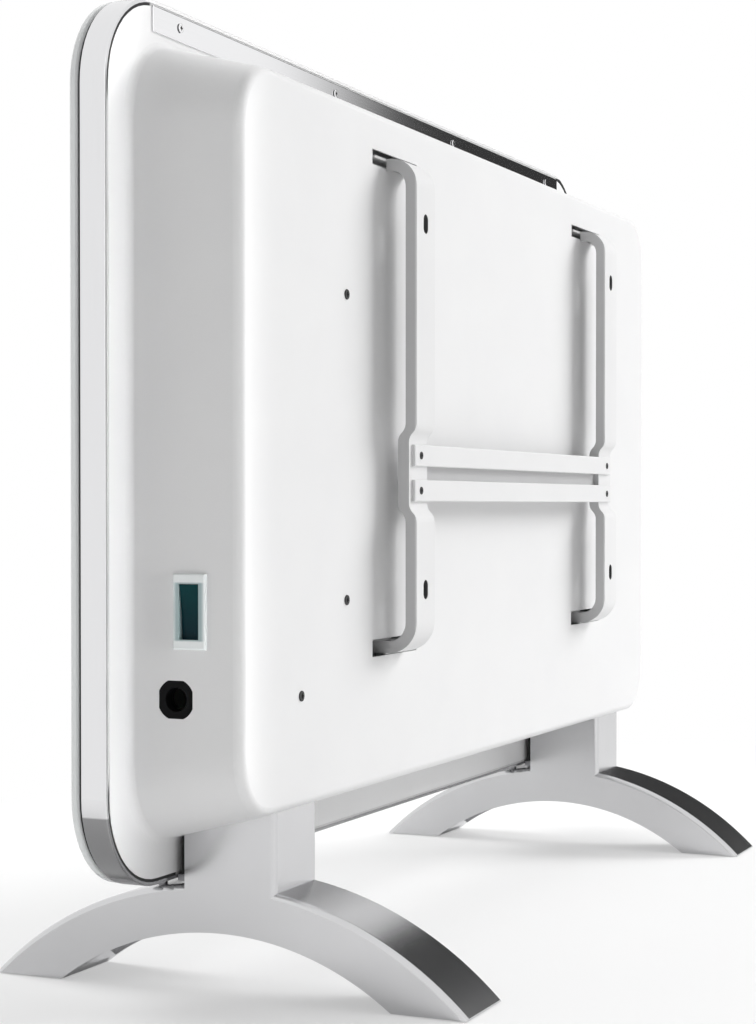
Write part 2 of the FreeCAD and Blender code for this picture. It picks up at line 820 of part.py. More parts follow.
def stem_form(wall, x0, x1):
    """Stem from the arch up to the cover's sloping underside, drawn in by a wall."""
    y0 = stem_front + wall
    y1 = stem_rear - wall
    return side_prism([(y0, arch_rise), (y1, arch_rise), (y1, cover_bottom(y1) - wall),
                       (y0, cover_bottom(y0) - wall)], x0, x1)


def on_foot_contour(edge):
    """True for the side edges along the arch's back and the stem's rear."""
    middle = edge.valueAt((edge.FirstParameter + edge.LastParameter) / 2)
    radius = (foot_half_span ** 2 + foot_rise ** 2) / (2 * foot_rise)
    on_arch = abs(math.hypot(middle.y, middle.z - foot_rise + radius) - radius) < tolerance
    return edge.BoundBox.XLength < tolerance and (on_arch or abs(middle.y - stem_rear) < tolerance)


def foot_arch(x0, x1):
    """Arch of a foot with its blunt toes, filled down to the floor."""
    return arch_form(foot_half_span, foot_rise, foot_half_span - toe_blunt, x0, x1)


def foot_soles(foot_x):
    """Pads under the two toes of a foot."""
    half = foot_width / 2 - pad_side_inset
    pads = []
    for side in (-1, 1):
        tip = foot_half_span - pad_end_inset
        y0, y1 = sorted((side * tip, side * (tip - pad_length)))
        pads.append(block(foot_x - half, foot_x + half, y0, y1, 0, pad_depth))
    return pads


# Foot: hollow casting with a stem that carries the cover
def make_foot(foot_x):
    x0 = foot_x - foot_width / 2
    x1 = foot_x + foot_width / 2
    foot = foot_arch(x0, x1).fuse(stem_form(0, x0, x1)).removeSplitter()
    foot = foot.makeFillet(foot_round, [e for e in foot.Edges if on_foot_contour(e)])
    inner0 = x0 + foot_wall
    inner1 = x1 - foot_wall
    cutters = [arch_form(arch_half_span, arch_rise, arch_half_span, x0, x1),
               arch_form(foot_half_span - foot_wall, foot_rise - foot_wall, arch_half_span - 2 * foot_wall,
                         inner0, inner1),
               stem_form(foot_wall, inner0, inner1),
               block(x0, x1, -foot_half_span, foot_half_span, 0, pad_stand)]
    for seat in foot_seats(foot_x):
        cutters.append(rod(seat - slope_normal * 2 * foot_wall, slope_normal,
                           foot_screw_shank + foot_screw_clearance, 2 * foot_wall))
    return foot.cut(cutters + foot_soles(foot_x))


def make_foot_pads():
    return Part.makeCompound(foot_soles(foot_centre) + foot_soles(-foot_centre))


def make_foot_screws():
    length = foot_wall + cover_sheet + nut_plate_thickness
    wall = foot_wall * math.cos(slope)
    return Part.makeCompound([screw(seat - slope_normal * wall, slope_normal * -1, foot_screw, length)
                              for foot_x in (foot_centre, -foot_centre) for seat in foot_seats(foot_x)])


# Threaded plates inside the cover, over the feet
def make_foot_nut_plates():
    width = foot_width - 2 * nut_plate_side_gap
    plates = []
    for foot_x in (foot_centre, -foot_centre):
        corner = Vector(-width / 2, -nut_plate_depth / 2, cover_sheet * math.cos(slope))
        plate = Part.makeBox(width, nut_plate_depth, nut_plate_thickness, corner)
        seat = Vector(foot_x, stem_middle, cover_bottom(stem_middle))
        plate.Placement = FreeCAD.Placement(seat, FreeCAD.Rotation(AXIS_Z, slope_normal))
        holes = [rod(point, slope_normal, foot_screw_shank, 2 * cover_sheet + nut_plate_thickness)
                 for point in foot_seats(foot_x)]
        plates.append(plate.cut(holes))
    return Part.makeCompound(plates)


# Clip of each foot: bar between stem and cover, and two buffers on the arch that bear the frame's lower edge
def make_foot_clips():
    half = foot_width / 2
    bar_half = half - clip_side_gap
    buffer_y = panel_rear - buffer_reach
    clips = []
    for foot_x in (foot_centre, -foot_centre):
        clips.append(block(foot_x - bar_half, foot_x + bar_half, panel_rear + clip_gap, stem_front,
                           foot_rise, foot_rise + clip_height))
        arch = foot_arch(foot_x - half, foot_x + half)
        for dx in (half - buffer_side_inset, buffer_side_inset - half):
            base = Vector(foot_x + dx, buffer_y, arch_rise)
            post = rod(base, AXIS_Z, buffer_radius, panel_bottom - buffer_gap - arch_rise)
            clips.append(post.cut(arch))
    return Part.makeCompound(clips)


def jog(y, z, dy, dz, x):
    """S-shaped step of two tangent arcs, from (y, z) to (y + dy, z + dz)."""
    turn = 2 * math.atan2(abs(dy), abs(dz))
    radius = abs(dz) / (2 * math.sin(turn))
    middle = Vector(x, y + dy / 2, z + dz / 2)
    lean = math.copysign(radius * (1 - math.cos(turn / 2)), dy)
    drop = math.copysign(radius * math.sin(turn / 2), dz)
    return [arc(Vector(x, y, z), Vector(x, y + lean, z + drop), middle),
            arc(middle, Vector(x, y + dy - lean, z + dz - drop), Vector(x, y + dy, z + dz))]


def quarter_bend(centre, radius, side):
    """Arc between a level line and the upright line, above the centre for side 1 and below for side -1."""
    slant = radius * math.sqrt(0.5)
    return [centre + Vector(0, 0, side * radius), centre + Vector(0, slant, side * slant),
            centre + Vector(0, radius, 0)]


def upright_line(inset, top_start, bottom_end, x):
    """Side line of an upright, drawn in by the inset, from the top tongue to the bottom hook."""
    y = wall_plane - inset
    upper = quarter_bend(Vector(x, wall_plane - upper_bend, hook_top - upper_bend), upper_bend - inset, 1)
    lower = quarter_bend(Vector(x, wall_plane - lower_bend, hook_bottom + lower_bend), lower_bend - inset, -1)
    step_top = Vector(x, y, jog_top + jog_length)
    step_bottom = Vector(x, y, jog_bottom - jog_length)
    edges = [Part.makeLine(Vector(x, top_start, upper[0].z), upper[0]), arc(*upper),
             Part.makeLine(upper[2], step_top)]
    edges += jog(y, step_top.z, -jog_depth, -jog_length, x)
    edges.append(Part.makeLine(Vector(x, y - jog_depth, jog_top), Vector(x, y - jog_depth, jog_bottom)))
    edges += jog(y - jog_depth, jog_bottom, jog_depth, -jog_length, x)
    edges += [Part.makeLine(step_bottom, lower[2]), arc(lower[2], lower[1], lower[0]),
              Part.makeLine(lower[0], Vector(x, bottom_end, lower[0].z))]
    return edges


def upright_band(outer, inner, top_start, bottom_end, x0, x1):
    """Solid between two side lines, extruded along X."""
    first = upright_line(outer, top_start, bottom_end, x0)
    second = upright_line(inner, top_start, bottom_end, x0)
    caps = [Part.makeLine(first[0].Vertexes[0].Point, second[0].Vertexes[0].Point),
            Part.makeLine(first[-1].Vertexes[-1].Point, second[-1].Vertexes[-1].Point)]
    outline = Part.Wire(Part.__sortEdges__(first + second + caps))
    return Part.Face(outline).extrude(Vector(x1 - x0, 0, 0))


def wall_slot(centre, z):
    """Cutter for one long hole for a wall screw."""
    reach = (wall_slot_length - wall_slot_width) / 2
    y0 = wall_plane - 2 * upright_sheet
    depth = 3 * upright_sheet
    half = wall_slot_width / 2
    middle = block(centre - half, centre + half, y0, y0 + depth, z - reach, z + reach)
    ends = [rod(Vector(centre, y0, z + side * reach), AXIS_Y, half, depth) for side in (-1, 1)]
    return middle.fuse(ends)


# Upright: pressed channel, bent to the back at both ends, with a wide tongue, set in where the rails cross
def make_upright(centre):
    x0 = centre - upright_width / 2
    x1 = centre + upright_width / 2
    flange_start = cover_rear + flange_gap
    hook_end = cover_rear - hook_reach
    past = hook_end - hook_reach
    channel = upright_band(0, upright_flange, flange_start, hook_end, x0, x1)
    pocket = upright_band(upright_sheet, upright_flange + upright_sheet, past, past,
                          x0 + upright_sheet, x1 - upright_sheet)
    tongue = block(x0 - tongue_side, x1 + tongue_side, cover_rear - tongue_reach, flange_start,
                   hook_top - upright_sheet, hook_top)
    lip_top = hook_bottom + upright_flange + hook_lip
    lip = block(x0, x1, hook_end, hook_end + upright_sheet, hook_bottom, lip_top)
    bead = rod(Vector(x0, pivot_y, pivot_z), AXIS_X, pivot_bead_radius, upright_width)
    upright = channel.cut(pocket).fuse([tongue, lip, bead]).removeSplitter()
    cutters = [wall_slot(centre, z) for z in wall_slot_heights]
    for z in rail_heights:
        seat = Vector(centre, rail_seat - 2 * upright_sheet, z)
        cutters.append(rod(seat, AXIS_Y, rail_screw_shank, 2 * upright_sheet))
    return upright.cut(cutters)


def make_rail(z):
    x0 = upright_centres[1] - upright_width / 2 + rail_end_inset
    x1 = upright_centres[0] + upright_width / 2 - rail_end_inset
    rear = rail_seat + rail_thickness
    rail = block(x0, x1, rail_seat, rear, z - rail_height / 2, z + rail_height / 2)
    rail = rail.makeFillet(rail_edge_round, edges_at_y(rail, rear))
    return rail.cut([rod(Vector(x, rail_seat, z), AXIS_Y, rail_screw_shank, rail_thickness)
                     for x in upright_centres])


# Tie: shallow channel welded behind the rails, which closes the gap between them
def make_tie():
    x0 = upright_centres[1] + upright_width / 2 + tie_end_gap
    x1 = upright_centres[0] - upright_width / 2 - tie_end_gap
    half = (rail_pitch - rail_height) / 2 + tie_lap
    floor = rail_seat - tie_depth
    channel = block(x0, x1, floor, rail_seat, rail_middle - half, rail_middle + half)
    half -= tie_sheet
    return channel.cut(block(x0, x1, floor + tie_sheet, rail_seat, rail_middle - half, rail_middle + half))


def make_bracket_screws():
    length = rail_thickness + upright_sheet
    return Part.makeCompound([screw(Vector(x, rail_seat + rail_thickness, z), AXIS_Y, rail_screw, length)
                              for x in upright_centres for z in rail_heights])


pieces = {
    "front_glass": make_front_glass(),
    "glass_gasket": make_glass_gasket(),
    "frame_band": make_frame_band(),
    "front_shield": make_front_shield(),
    "touch_board": make_touch_board(),
    "cover_gasket": make_cover_gasket(),
    "rear_cover": make_rear_cover(),
    "cover_screws": make_cover_screws(),
    "top_trim": make_top_trim(),
    "top_trim_screws": make_top_trim_screws(),
    "switch_body": make_switch_body(),
    "switch_rocker": make_switch_rocker(),
    "switch_terminals": make_switch_terminals(),
    "cable_gland": make_cable_gland(),
    "bay_divider": make_bay_divider(),
    "element_core": make_element_core(),
    "element_insulators": make_element_insulators(),
    "element_fins": make_element_fins(),
    "element_bracket_right": make_element_bracket(carrier_places[0]),
    "element_bracket_left": make_element_bracket(carrier_places[1]),
    "thermal_cutout": make_thermal_cutout(),
    "temperature_sensor": make_temperature_sensor(),
    "control_board": make_control_board(),
    "board_standoffs": make_board_standoffs(),
    "power_relay": on_board(relay_size, relay_rise),
    "supply_transformer": on_board(transformer_size, transformer_rise),
    "supply_capacitor": make_supply_capacitor(),
    "terminal_block": make_terminal_block(),
    "earth_tag": make_earth_tag(),
    "right_foot": make_foot(foot_centre),
    "left_foot": make_foot(-foot_centre),
    "foot_pads": make_foot_pads(),
    "foot_screws": make_foot_screws(),
    "foot_nut_plates": make_foot_nut_plates(),
    "foot_clips": make_foot_clips(),
    "bracket_upright_right": make_upright(upright_centres[0]),
    "bracket_upright_left": make_upright(upright_centres[1]),
    "bracket_upper_rail": make_rail(rail_heights[0]),
    "bracket_lower_rail": make_rail(rail_heights[1]),
    "bracket_tie": make_tie(),
    "bracket_screws": make_bracket_screws(),
}
pieces.update(make_leads())

os.makedirs("parts", exist_ok=True)
for name, shape in pieces.items():
    shape.exportStep("parts/" + name + ".step")
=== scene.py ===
import math

import bpy
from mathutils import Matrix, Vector


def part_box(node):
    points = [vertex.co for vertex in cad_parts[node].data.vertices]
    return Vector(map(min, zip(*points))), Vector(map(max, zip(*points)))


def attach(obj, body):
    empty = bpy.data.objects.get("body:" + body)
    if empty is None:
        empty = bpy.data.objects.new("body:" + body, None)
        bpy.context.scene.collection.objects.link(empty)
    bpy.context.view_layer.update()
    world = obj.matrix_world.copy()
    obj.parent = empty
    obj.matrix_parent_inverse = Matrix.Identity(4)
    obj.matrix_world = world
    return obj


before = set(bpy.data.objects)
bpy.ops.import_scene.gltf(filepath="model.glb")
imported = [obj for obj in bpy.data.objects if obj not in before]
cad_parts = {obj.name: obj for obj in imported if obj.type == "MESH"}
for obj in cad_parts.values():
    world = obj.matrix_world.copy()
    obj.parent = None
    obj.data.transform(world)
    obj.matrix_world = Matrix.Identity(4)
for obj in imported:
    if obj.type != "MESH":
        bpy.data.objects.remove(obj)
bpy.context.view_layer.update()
bpy.ops.object.select_all(action="DESELECT")


# Front pane: tempered glass, enamelled white on its back and with ground, rounded edges.
# It is bonded to the frame all round, and its ground edge scatters the light nearly white.
class Shade:
    """A socket in a finish's nodes: sums on it add Math nodes, and node() adds any other node."""

    def __init__(self, tree, socket):
        self.tree = tree
        self.socket = socket

    def node(self, kind, settings, sockets, output=0):
        made = self.tree.nodes.new("ShaderNode" + kind)
        for name, value in settings.items():
            setattr(made, name, value)
        for name, value in sockets.items():
            if isinstance(value, Shade):
                self.tree.links.new(value.socket, made.inputs[name])
            else:
                made.inputs[name].default_value = value
        return Shade(self.tree, made.outputs[output])

    def sum(self, operation, first, second):
        return self.node("Math", {"operation": operation}, {0: first, 1: second})

    def __add__(self, other):
        return self.sum("ADD", self, other)

    def __sub__(self, other):
        return self.sum("SUBTRACT", self, other)

    def __rsub__(self, other):
        return self.sum("SUBTRACT", other, self)

    def __mul__(self, other):
        return self.sum("MULTIPLY", self, other)

    def __abs__(self):
        return self.sum("ABSOLUTE", self, 0.0)

    def axis(self, letter):
        return self.node("SeparateXYZ", {}, {0: self}, "XYZ".index(letter))

    def span(self, low, high):
        """From low to high as this value goes from 0 to 1."""
        return self * (high - low) + low

    def rise(self, low, high):
        """0 where this value is at low, 1 where it is at high, and smooth between them."""
        return self.node("MapRange", {"interpolation_type": "SMOOTHSTEP"},
                         {"Value": self, "From Min": low, "From Max": high})

    def grain(self, scale, detail=2.0, stretch=(1.0, 1.0, 1.0)):
        """Noise from 0 to 1 on these coordinates, with so many grains to the metre."""
        spread = self.node("Mapping", {}, {"Vector": self, "Scale": stretch})
        return self.node("TexNoise", {}, {"Vector": spread, "Scale": scale, "Detail": detail})

    def blend(self, first, second):
        """From the first colour to the second as this value goes from 0 to 1."""
        return self.node("Mix", {"data_type": "RGBA"}, {0: self, 6: first, 7: second}, 2)

    def bumps(self, depth):
        """A surface raised by so many metres where this value is 1."""
        return self.node("Bump", {}, {"Height": self, "Distance": depth, "Strength": 1.0})


def finish(name, **constants):
    """A new material with these plain shader values, and the object coordinates for its patterns."""
    material = bpy.data.materials.new(name)
    material.use_nodes = True
    tree = material.node_tree
    shader = tree.nodes["Principled BSDF"]
    for words, value in constants.items():
        shader.inputs[words.replace("_", " ").title().replace("Ior", "IOR")].default_value = value
    return material, Shade(tree, tree.nodes.new("ShaderNodeTexCoord").outputs["Object"])


def wear(material, **patterns):
    """Leads patterns to the shader's sockets of these names."""
    shader = material.node_tree.nodes["Principled BSDF"]
    for words, value in patterns.items():
        material.node_tree.links.new(value.socket, shader.inputs[words.replace("_", " ").title()])


def dress(material, *names):
    """Gives CAD nodes their finish."""
    for name in names:
        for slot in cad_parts[name].material_slots:
            slot.material = material


ENAMEL = (0.86, 0.87, 0.87, 1.0)
GLASS_EDGE = (0.78, 0.80, 0.80, 1.0)
GROUND_START = 0.0005
GROUND_FULL = 0.0016
pane, place = finish("white_glass", coat_weight=1.0, coat_roughness=0.03, ior=1.52)
pane_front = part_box("front_glass")[0].y
ground_edge = place.axis("Y").rise(pane_front + GROUND_START, pane_front + GROUND_FULL)
wear(pane, base_color=ground_edge.blend(ENAMEL, GLASS_EDGE), roughness=place.grain(60.0).span(0.1, 0.15))
dress(pane, "front_glass")


# Joints: black rubber strips between glass, frame and cover, pressed into the gaps.
# On the cover's side the strips are pale along their straight runs and black at the corners.
BLACK_RUBBER_AND_SHADE = (0.012, 0.012, 0.013, 1.0)
DUSTY_RUBBER_AND_SHADE = (0.03, 0.03, 0.031, 1.0)
RUN_PALE = (0.66, 0.66, 0.66, 1.0)
CORNER_REACH = 0.045
CORNER_FADE = 0.004
RUN_END_FADE = 0.002
COVER_SIDE_FADE = 0.001
rubber, place = finish("joint_rubber")
dust = place.grain(900.0, detail=4.0)
joint_low, joint_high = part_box("cover_gasket")
upper_bend = joint_high.z - CORNER_REACH
lower_bend = joint_low.z + CORNER_REACH
above = place.axis("Z").rise(upper_bend - CORNER_FADE, upper_bend + CORNER_FADE)
below = 1.0 - place.axis("Z").rise(lower_bend - CORNER_FADE, lower_bend + CORNER_FADE)
strip_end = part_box("top_trim")[1].x
foot_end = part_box("right_foot")[1].x
across = abs(place.axis("X"))
upper_corners = above * across.rise(strip_end, strip_end + RUN_END_FADE)
lower_corners = below * across.rise(foot_end - RUN_END_FADE, foot_end)
behind = place.axis("Y").rise(joint_low.y - COVER_SIDE_FADE, joint_low.y)
pale_runs = (1.0 - (upper_corners + lower_corners)) * behind
wear(rubber, base_color=pale_runs.blend(dust.blend(BLACK_RUBBER_AND_SHADE, DUSTY_RUBBER_AND_SHADE), RUN_PALE),
     roughness=dust.span(0.6, 0.8), normal=dust.bumps(0.00004))
dress(rubber, "glass_gasket", "cover_gasket")


# Frame band: an aluminium section bent round the panel, brushed along its length and anodised.
# Its upper edge is white and not metallic, a painted highlight, and its lower corners carry a painted dark
# reflection.
BAND_SILVER = (0.80, 0.80, 0.81, 1.0)
BAND_SHADE = (0.75, 0.75, 0.76, 1.0)
BAND_PAINTED_HIGHLIGHT = (0.86, 0.86, 0.86, 1.0)
BAND_PAINTED_REFLECTION = (0.33, 0.33, 0.335, 1.0)
BEND_HEIGHT = 0.0338
BEND_FADE = 0.001
HIGHLIGHT_DEPTH = 0.0018
HIGHLIGHT_FADE = 0.0003
band, place = finish("brushed_band")
band_low, band_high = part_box("frame_band")
brushing = place.grain(1.0, detail=3.0, stretch=(30.0, 5200.0, 30.0))
bend_top = band_low.z + BEND_HEIGHT
highlight_start = band_high.z - HIGHLIGHT_DEPTH
# Painted dark reflection on the lower corners, and a white painted highlight along the upper edge.
straight = place.axis("Z").rise(bend_top - BEND_FADE, bend_top)
top_highlight = place.axis("Z").rise(highlight_start, highlight_start + HIGHLIGHT_FADE)
silver = straight.blend(BAND_PAINTED_REFLECTION, brushing.blend(BAND_SHADE, BAND_SILVER))
wear(band, base_color=top_highlight.blend(silver, BAND_PAINTED_HIGHLIGHT), metallic=1.0 - top_highlight,
     roughness=brushing.span(0.14, 0.24), normal=brushing.bumps(0.00001))
dress(band, "frame_band")


# Rear cover: one steel pressing, powder coated white after its slots and openings are cut.
# It drops into the frame on the ledge, and the coat shows a fine orange peel.
COVER_WHITE = (0.83, 0.83, 0.83, 1.0)
COVER_TONE = (0.79, 0.79, 0.795, 1.0)


def powder_coat(name, white, tone):
    """A satin powder coat with a fine peel, its coordinates and its colour with hardly visible clouds."""
    coat, place = finish(name, specular_ior_level=0.4)
    peel = place.grain(1400.0)
    colour = place.grain(25.0, detail=3.0).blend(tone, white)
    wear(coat, base_color=colour, roughness=peel.span(0.4, 0.5), normal=peel.bumps(0.00002))
    return coat, place, colour


cover_coat, *_ = powder_coat("cover_coat", COVER_WHITE, COVER_TONE)
dress(cover_coat, "rear_cover")


# Top strip: polished metal along the joint of frame and cover, held by four small bright screws.
# Cleaning has left hairlines along it, and the screws' drives are sunk, with painted shade darkening them.
STRIP_BRIGHT = (0.90, 0.90, 0.91, 1.0)
STRIP_HAIRLINE = (0.83, 0.83, 0.84, 1.0)
DRIVE_PAINTED_SHADE = (0.05, 0.05, 0.052, 1.0)
DRIVE_DEPTH = 0.0005
HEAD_CROWN = 0.0002
strip, place = finish("polished_strip", metallic=1.0)
hairlines = place.grain(1.0, detail=3.0, stretch=(14.0, 2600.0, 2600.0))
wear(strip, base_color=hairlines.blend(STRIP_HAIRLINE, STRIP_BRIGHT), roughness=hairlines.span(0.06, 0.12))
dress(strip, "top_trim")
strip_screw, place = finish("strip_screw_steel", metallic=1.0)
head_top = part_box("top_trim_screws")[1].y
# Painted shade: the screws are dark below the top of their heads.
proud = place.axis("Y").rise(head_top - DRIVE_DEPTH, head_top - HEAD_CROWN)
wear(strip_screw, base_color=proud.blend(DRIVE_PAINTED_SHADE, STRIP_BRIGHT),
     roughness=place.grain(900.0).span(0.12, 0.22))
dress(strip_screw, "top_trim_screws")


# Small screws in cover and rails: steel turned and pressed, then blackened.
# Handling has rubbed them a little brighter in spots.
BLACKENED = (0.02, 0.02, 0.021, 1.0)
BLACKENED_WORN = (0.06, 0.06, 0.06, 1.0)
blackened, place = finish("blackened_steel", specular_ior_level=0.3)
rubbing = place.grain(900.0, detail=3.0)
wear(blackened, base_color=rubbing.blend(BLACKENED, BLACKENED_WORN), roughness=rubbing.span(0.4, 0.6),
     normal=rubbing.bumps(0.00001))
dress(blackened, "cover_screws", "bracket_screws")


# Foot screws, foot clips and nut plates: steel with a dark zinc coat, turned and pressed.
# The screws go up through the feet, and the clips lie between stem and frame.
ZINC = (0.30, 0.30, 0.31, 1.0)
ZINC_DARK = (0.16, 0.16, 0.17, 1.0)
zinc, place = finish("dark_zinc", metallic=1.0)
mottle = place.grain(700.0, detail=4.0)
wear(zinc, base_color=mottle.blend(ZINC_DARK, ZINC), roughness=mottle.span(0.28, 0.48),
     normal=mottle.bumps(0.00001))
dress(zinc, "foot_screws", "foot_clips", "foot_nut_plates")


# Mains switch: a glossy pale bezel moulded with its case, snapped into the end of the cover.
# The rocker is a dark teal moulding on two small trunnions, and painted shade darkens the bezel beside it.
BEZEL_PALE = (0.90, 0.93, 0.93, 1.0)
BEZEL_SHADE = (0.86, 0.90, 0.90, 1.0)
BEZEL_PAINTED_SHADE = (0.36, 0.47, 0.48, 1.0)
SHADE_WIDTH = 0.0022
SHADE_END_FADE = 0.0005
ROCKER_TEAL = (0.001, 0.045, 0.050, 1.0)
ROCKER_DEEP = (0.002, 0.026, 0.036, 1.0)
rocker_low, rocker_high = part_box("switch_rocker")
rocker_middle = (rocker_low + rocker_high) / 2
rocker_half = (rocker_high - rocker_low) / 2
bezel, place = finish("switch_bezel", coat_weight=0.5, coat_roughness=0.08)
aside = abs(place.axis("Y") - rocker_middle.y)
along = abs(place.axis("Z") - rocker_middle.z)
# Painted shade darkens the bezel beside the rocker.
shade_beside_rocker = 1.0 - aside.rise(rocker_half.y, rocker_half.y + SHADE_WIDTH)
between_ends = 1.0 - along.rise(rocker_half.z - SHADE_END_FADE, rocker_half.z + SHADE_END_FADE)
pale = place.grain(300.0, detail=3.0).blend(BEZEL_SHADE, BEZEL_PALE)
wear(bezel, base_color=(shade_beside_rocker * between_ends).blend(pale, BEZEL_PAINTED_SHADE),
     roughness=place.grain(900.0).span(0.2, 0.3))
dress(bezel, "switch_body")
rocker, place = finish("switch_rocker", specular_ior_level=0.1)
teal = place.axis("Z").rise(rocker_low.z, rocker_high.z)
wear(rocker, base_color=teal.blend(ROCKER_DEEP, ROCKER_TEAL), roughness=place.grain(800.0).span(0.2, 0.3))
dress(rocker, "switch_rocker")


# Cable inlet and the black mouldings inside: filled plastic with a fine spark texture.
# The inlet sits in the cover's cut-out and is held by its flange from inside.
BLACK = (0.004, 0.004, 0.004, 1.0)
BLACK_WORN = (0.009, 0.009, 0.010, 1.0)
moulding, place = finish("black_moulding", specular_ior_level=0.06)
spark = place.grain(2200.0, detail=3.0)
wear(moulding, base_color=spark.blend(BLACK, BLACK_WORN), roughness=spark.span(0.42, 0.62),
     normal=spark.bumps(0.00002))
dress(moulding, "cable_gland", "thermal_cutout", "power_relay", "supply_transformer", "supply_capacitor")


# Sheets inside: bare aluminium with a rolled finish, folded and screwed to the cover.
# The shield lies on the frame's lip, and the carriers hold the heating element.
SHEET = (0.66, 0.67, 0.68, 1.0)
SHEET_DULL = (0.52, 0.53, 0.54, 1.0)
sheet, place = finish("rolled_sheet", metallic=1.0)
rolling = place.grain(1.0, detail=4.0, stretch=(40.0, 900.0, 900.0))
wear(sheet, base_color=rolling.blend(SHEET_DULL, SHEET), roughness=rolling.span(0.3, 0.45))
dress(sheet, "front_shield", "bay_divider", "element_bracket_right", "element_bracket_left", "element_fins")


# Heating element: a steel-sheathed rod dulled by heat, in two glazed ceramic bushes.
# Pressed aluminium fins sit on it.
SHEATH = (0.30, 0.28, 0.27, 1.0)
SHEATH_BLUED = (0.18, 0.17, 0.20, 1.0)
CERAMIC = (0.80, 0.78, 0.72, 1.0)
CERAMIC_WARM = (0.72, 0.69, 0.62, 1.0)
sheath, place = finish("heat_dulled_steel", metallic=1.0)
heat = place.grain(35.0, detail=4.0)
wear(sheath, base_color=heat.blend(SHEATH, SHEATH_BLUED), roughness=heat.span(0.35, 0.55))
dress(sheath, "element_core")
ceramic, place = finish("glazed_ceramic", coat_weight=0.4, coat_roughness=0.1)
glaze = place.grain(240.0, detail=4.0)
wear(ceramic, base_color=glaze.blend(CERAMIC_WARM, CERAMIC), roughness=glaze.span(0.3, 0.45))
dress(ceramic, "element_insulators")


# Boards: glass-fibre laminate under green solder resist, on moulded stand-offs.
# The weave of the laminate shows faintly through the resist.
RESIST = (0.02, 0.17, 0.07, 1.0)
RESIST_DEEP = (0.012, 0.11, 0.045, 1.0)
WEAVE_SHARE = 0.4
laminate, place = finish("green_resist", coat_weight=0.3, coat_roughness=0.2)
weave = place.node("TexChecker", {}, {"Vector": place, "Scale": 1200.0}, 1)
flecks = weave * WEAVE_SHARE + place.grain(80.0) * (1.0 - WEAVE_SHARE)
wear(laminate, base_color=flecks.blend(RESIST_DEEP, RESIST), roughness=weave.span(0.35, 0.43))
dress(laminate, "control_board", "touch_board")


# Terminal block, stand-offs and sensor: cream mouldings.
# Blades and tags are plain brass.
CREAM = (0.76, 0.74, 0.68, 1.0)
CREAM_WARM = (0.68, 0.65, 0.57, 1.0)
BRASS = (0.72, 0.58, 0.27, 1.0)
BRASS_DULL = (0.52, 0.40, 0.18, 1.0)
cream, place = finish("cream_moulding")
flow = place.grain(150.0, detail=3.0)
wear(cream, base_color=flow.blend(CREAM_WARM, CREAM), roughness=flow.span(0.4, 0.55))
dress(cream, "terminal_block", "board_standoffs", "temperature_sensor")
brass, place = finish("plain_brass", metallic=1.0)
tarnish = place.grain(400.0, detail=4.0)
wear(brass, base_color=tarnish.blend(BRASS_DULL, BRASS), roughness=tarnish.span(0.25, 0.45))
dress(brass, "switch_terminals", "earth_tag")


# Wires: stranded copper in heat-proof rubber, brown for live, blue for neutral.
# The earth wire is green with yellow patches.
LIVE = (0.16, 0.06, 0.02, 1.0)
LIVE_PALE = (0.22, 0.09, 0.03, 1.0)
NEUTRAL = (0.02, 0.07, 0.32, 1.0)
NEUTRAL_PALE = (0.03, 0.10, 0.40, 1.0)
EARTH_GREEN = (0.04, 0.25, 0.04, 1.0)
EARTH_YELLOW = (0.62, 0.52, 0.04, 1.0)
SOFT_CHANGE = (0.2, 0.8)
SHARP_CHANGE = (0.5, 0.53)


def insulation(name, deep, pale, change):
    """Wire rubber that goes from one colour to the other between two levels of its noise."""
    skin, place = finish(name, specular_ior_level=0.4)
    patches = place.grain(420.0, detail=1.0).rise(*change)
    wear(skin, base_color=patches.blend(deep, pale), roughness=place.grain(1500.0).span(0.4, 0.6))
    return skin


live_rubber = insulation("live_rubber", LIVE, LIVE_PALE, SOFT_CHANGE)
dress(live_rubber, "wire_live", "wire_switched_live", "element_lead_live")
neutral_rubber = insulation("neutral_rubber", NEUTRAL, NEUTRAL_PALE, SOFT_CHANGE)
dress(neutral_rubber, "wire_neutral", "element_lead_neutral")
earth_rubber = insulation("earth_rubber", EARTH_GREEN, EARTH_YELLOW, SHARP_CHANGE)
dress(earth_rubber, "wire_earth")


# Feet: arched aluminium castings with a stem up to the cover, in a fine satin silver.
# Screws go up through the stem's top, and rubber soles keep the toes off the floor.
FOOT_SILVER = (0.66, 0.66, 0.67, 1.0)
FOOT_SHADE = (0.62, 0.62, 0.63, 1.0)
SOLE = (0.022, 0.022, 0.022, 1.0)
SOLE_DUST = (0.06, 0.06, 0.058, 1.0)
foot, place = finish("satin_silver", metallic=1.0)
satin = place.grain(1800.0, detail=3.0)
wear(foot, base_color=place.grain(30.0).blend(FOOT_SHADE, FOOT_SILVER), roughness=satin.span(0.2, 0.26))
dress(foot, "right_foot", "left_foot")
sole, place = finish("sole_rubber")
scuff = place.grain(500.0, detail=4.0)
wear(sole, base_color=scuff.blend(SOLE, SOLE_DUST), roughness=scuff.span(0.6, 0.8),
     normal=scuff.bumps(0.00005))
dress(sole, "foot_pads")


